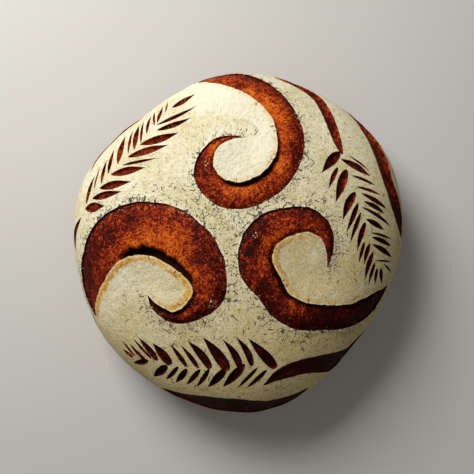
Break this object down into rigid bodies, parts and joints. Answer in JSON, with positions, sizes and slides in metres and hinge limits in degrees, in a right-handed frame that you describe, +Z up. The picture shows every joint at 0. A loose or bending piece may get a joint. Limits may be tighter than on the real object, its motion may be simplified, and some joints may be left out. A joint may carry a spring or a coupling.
{
  "type": "sourdough loaf",
  "caption": "Round whole loaf with a flour-dusted crust, spiral cuts with lifted lips, cut ears of wheat and a flat base.",
  "frame": {"origin": "centre of the footprint's box, on the surface that the loaf rests on", "axes": "+Z up out of the crown, +X to the right and +Y away from the viewer as the picture shows the loaf from above"},
  "size_m": [0.2298, 0.2374, 0.0963],
  "materials": {
    "crust": "dry matt crust, dusted with pale flour, red-brown where it is cut"
  },
  "bodies": {
    "root": {"loaf": "crust"}
  },
  "joints": []
}
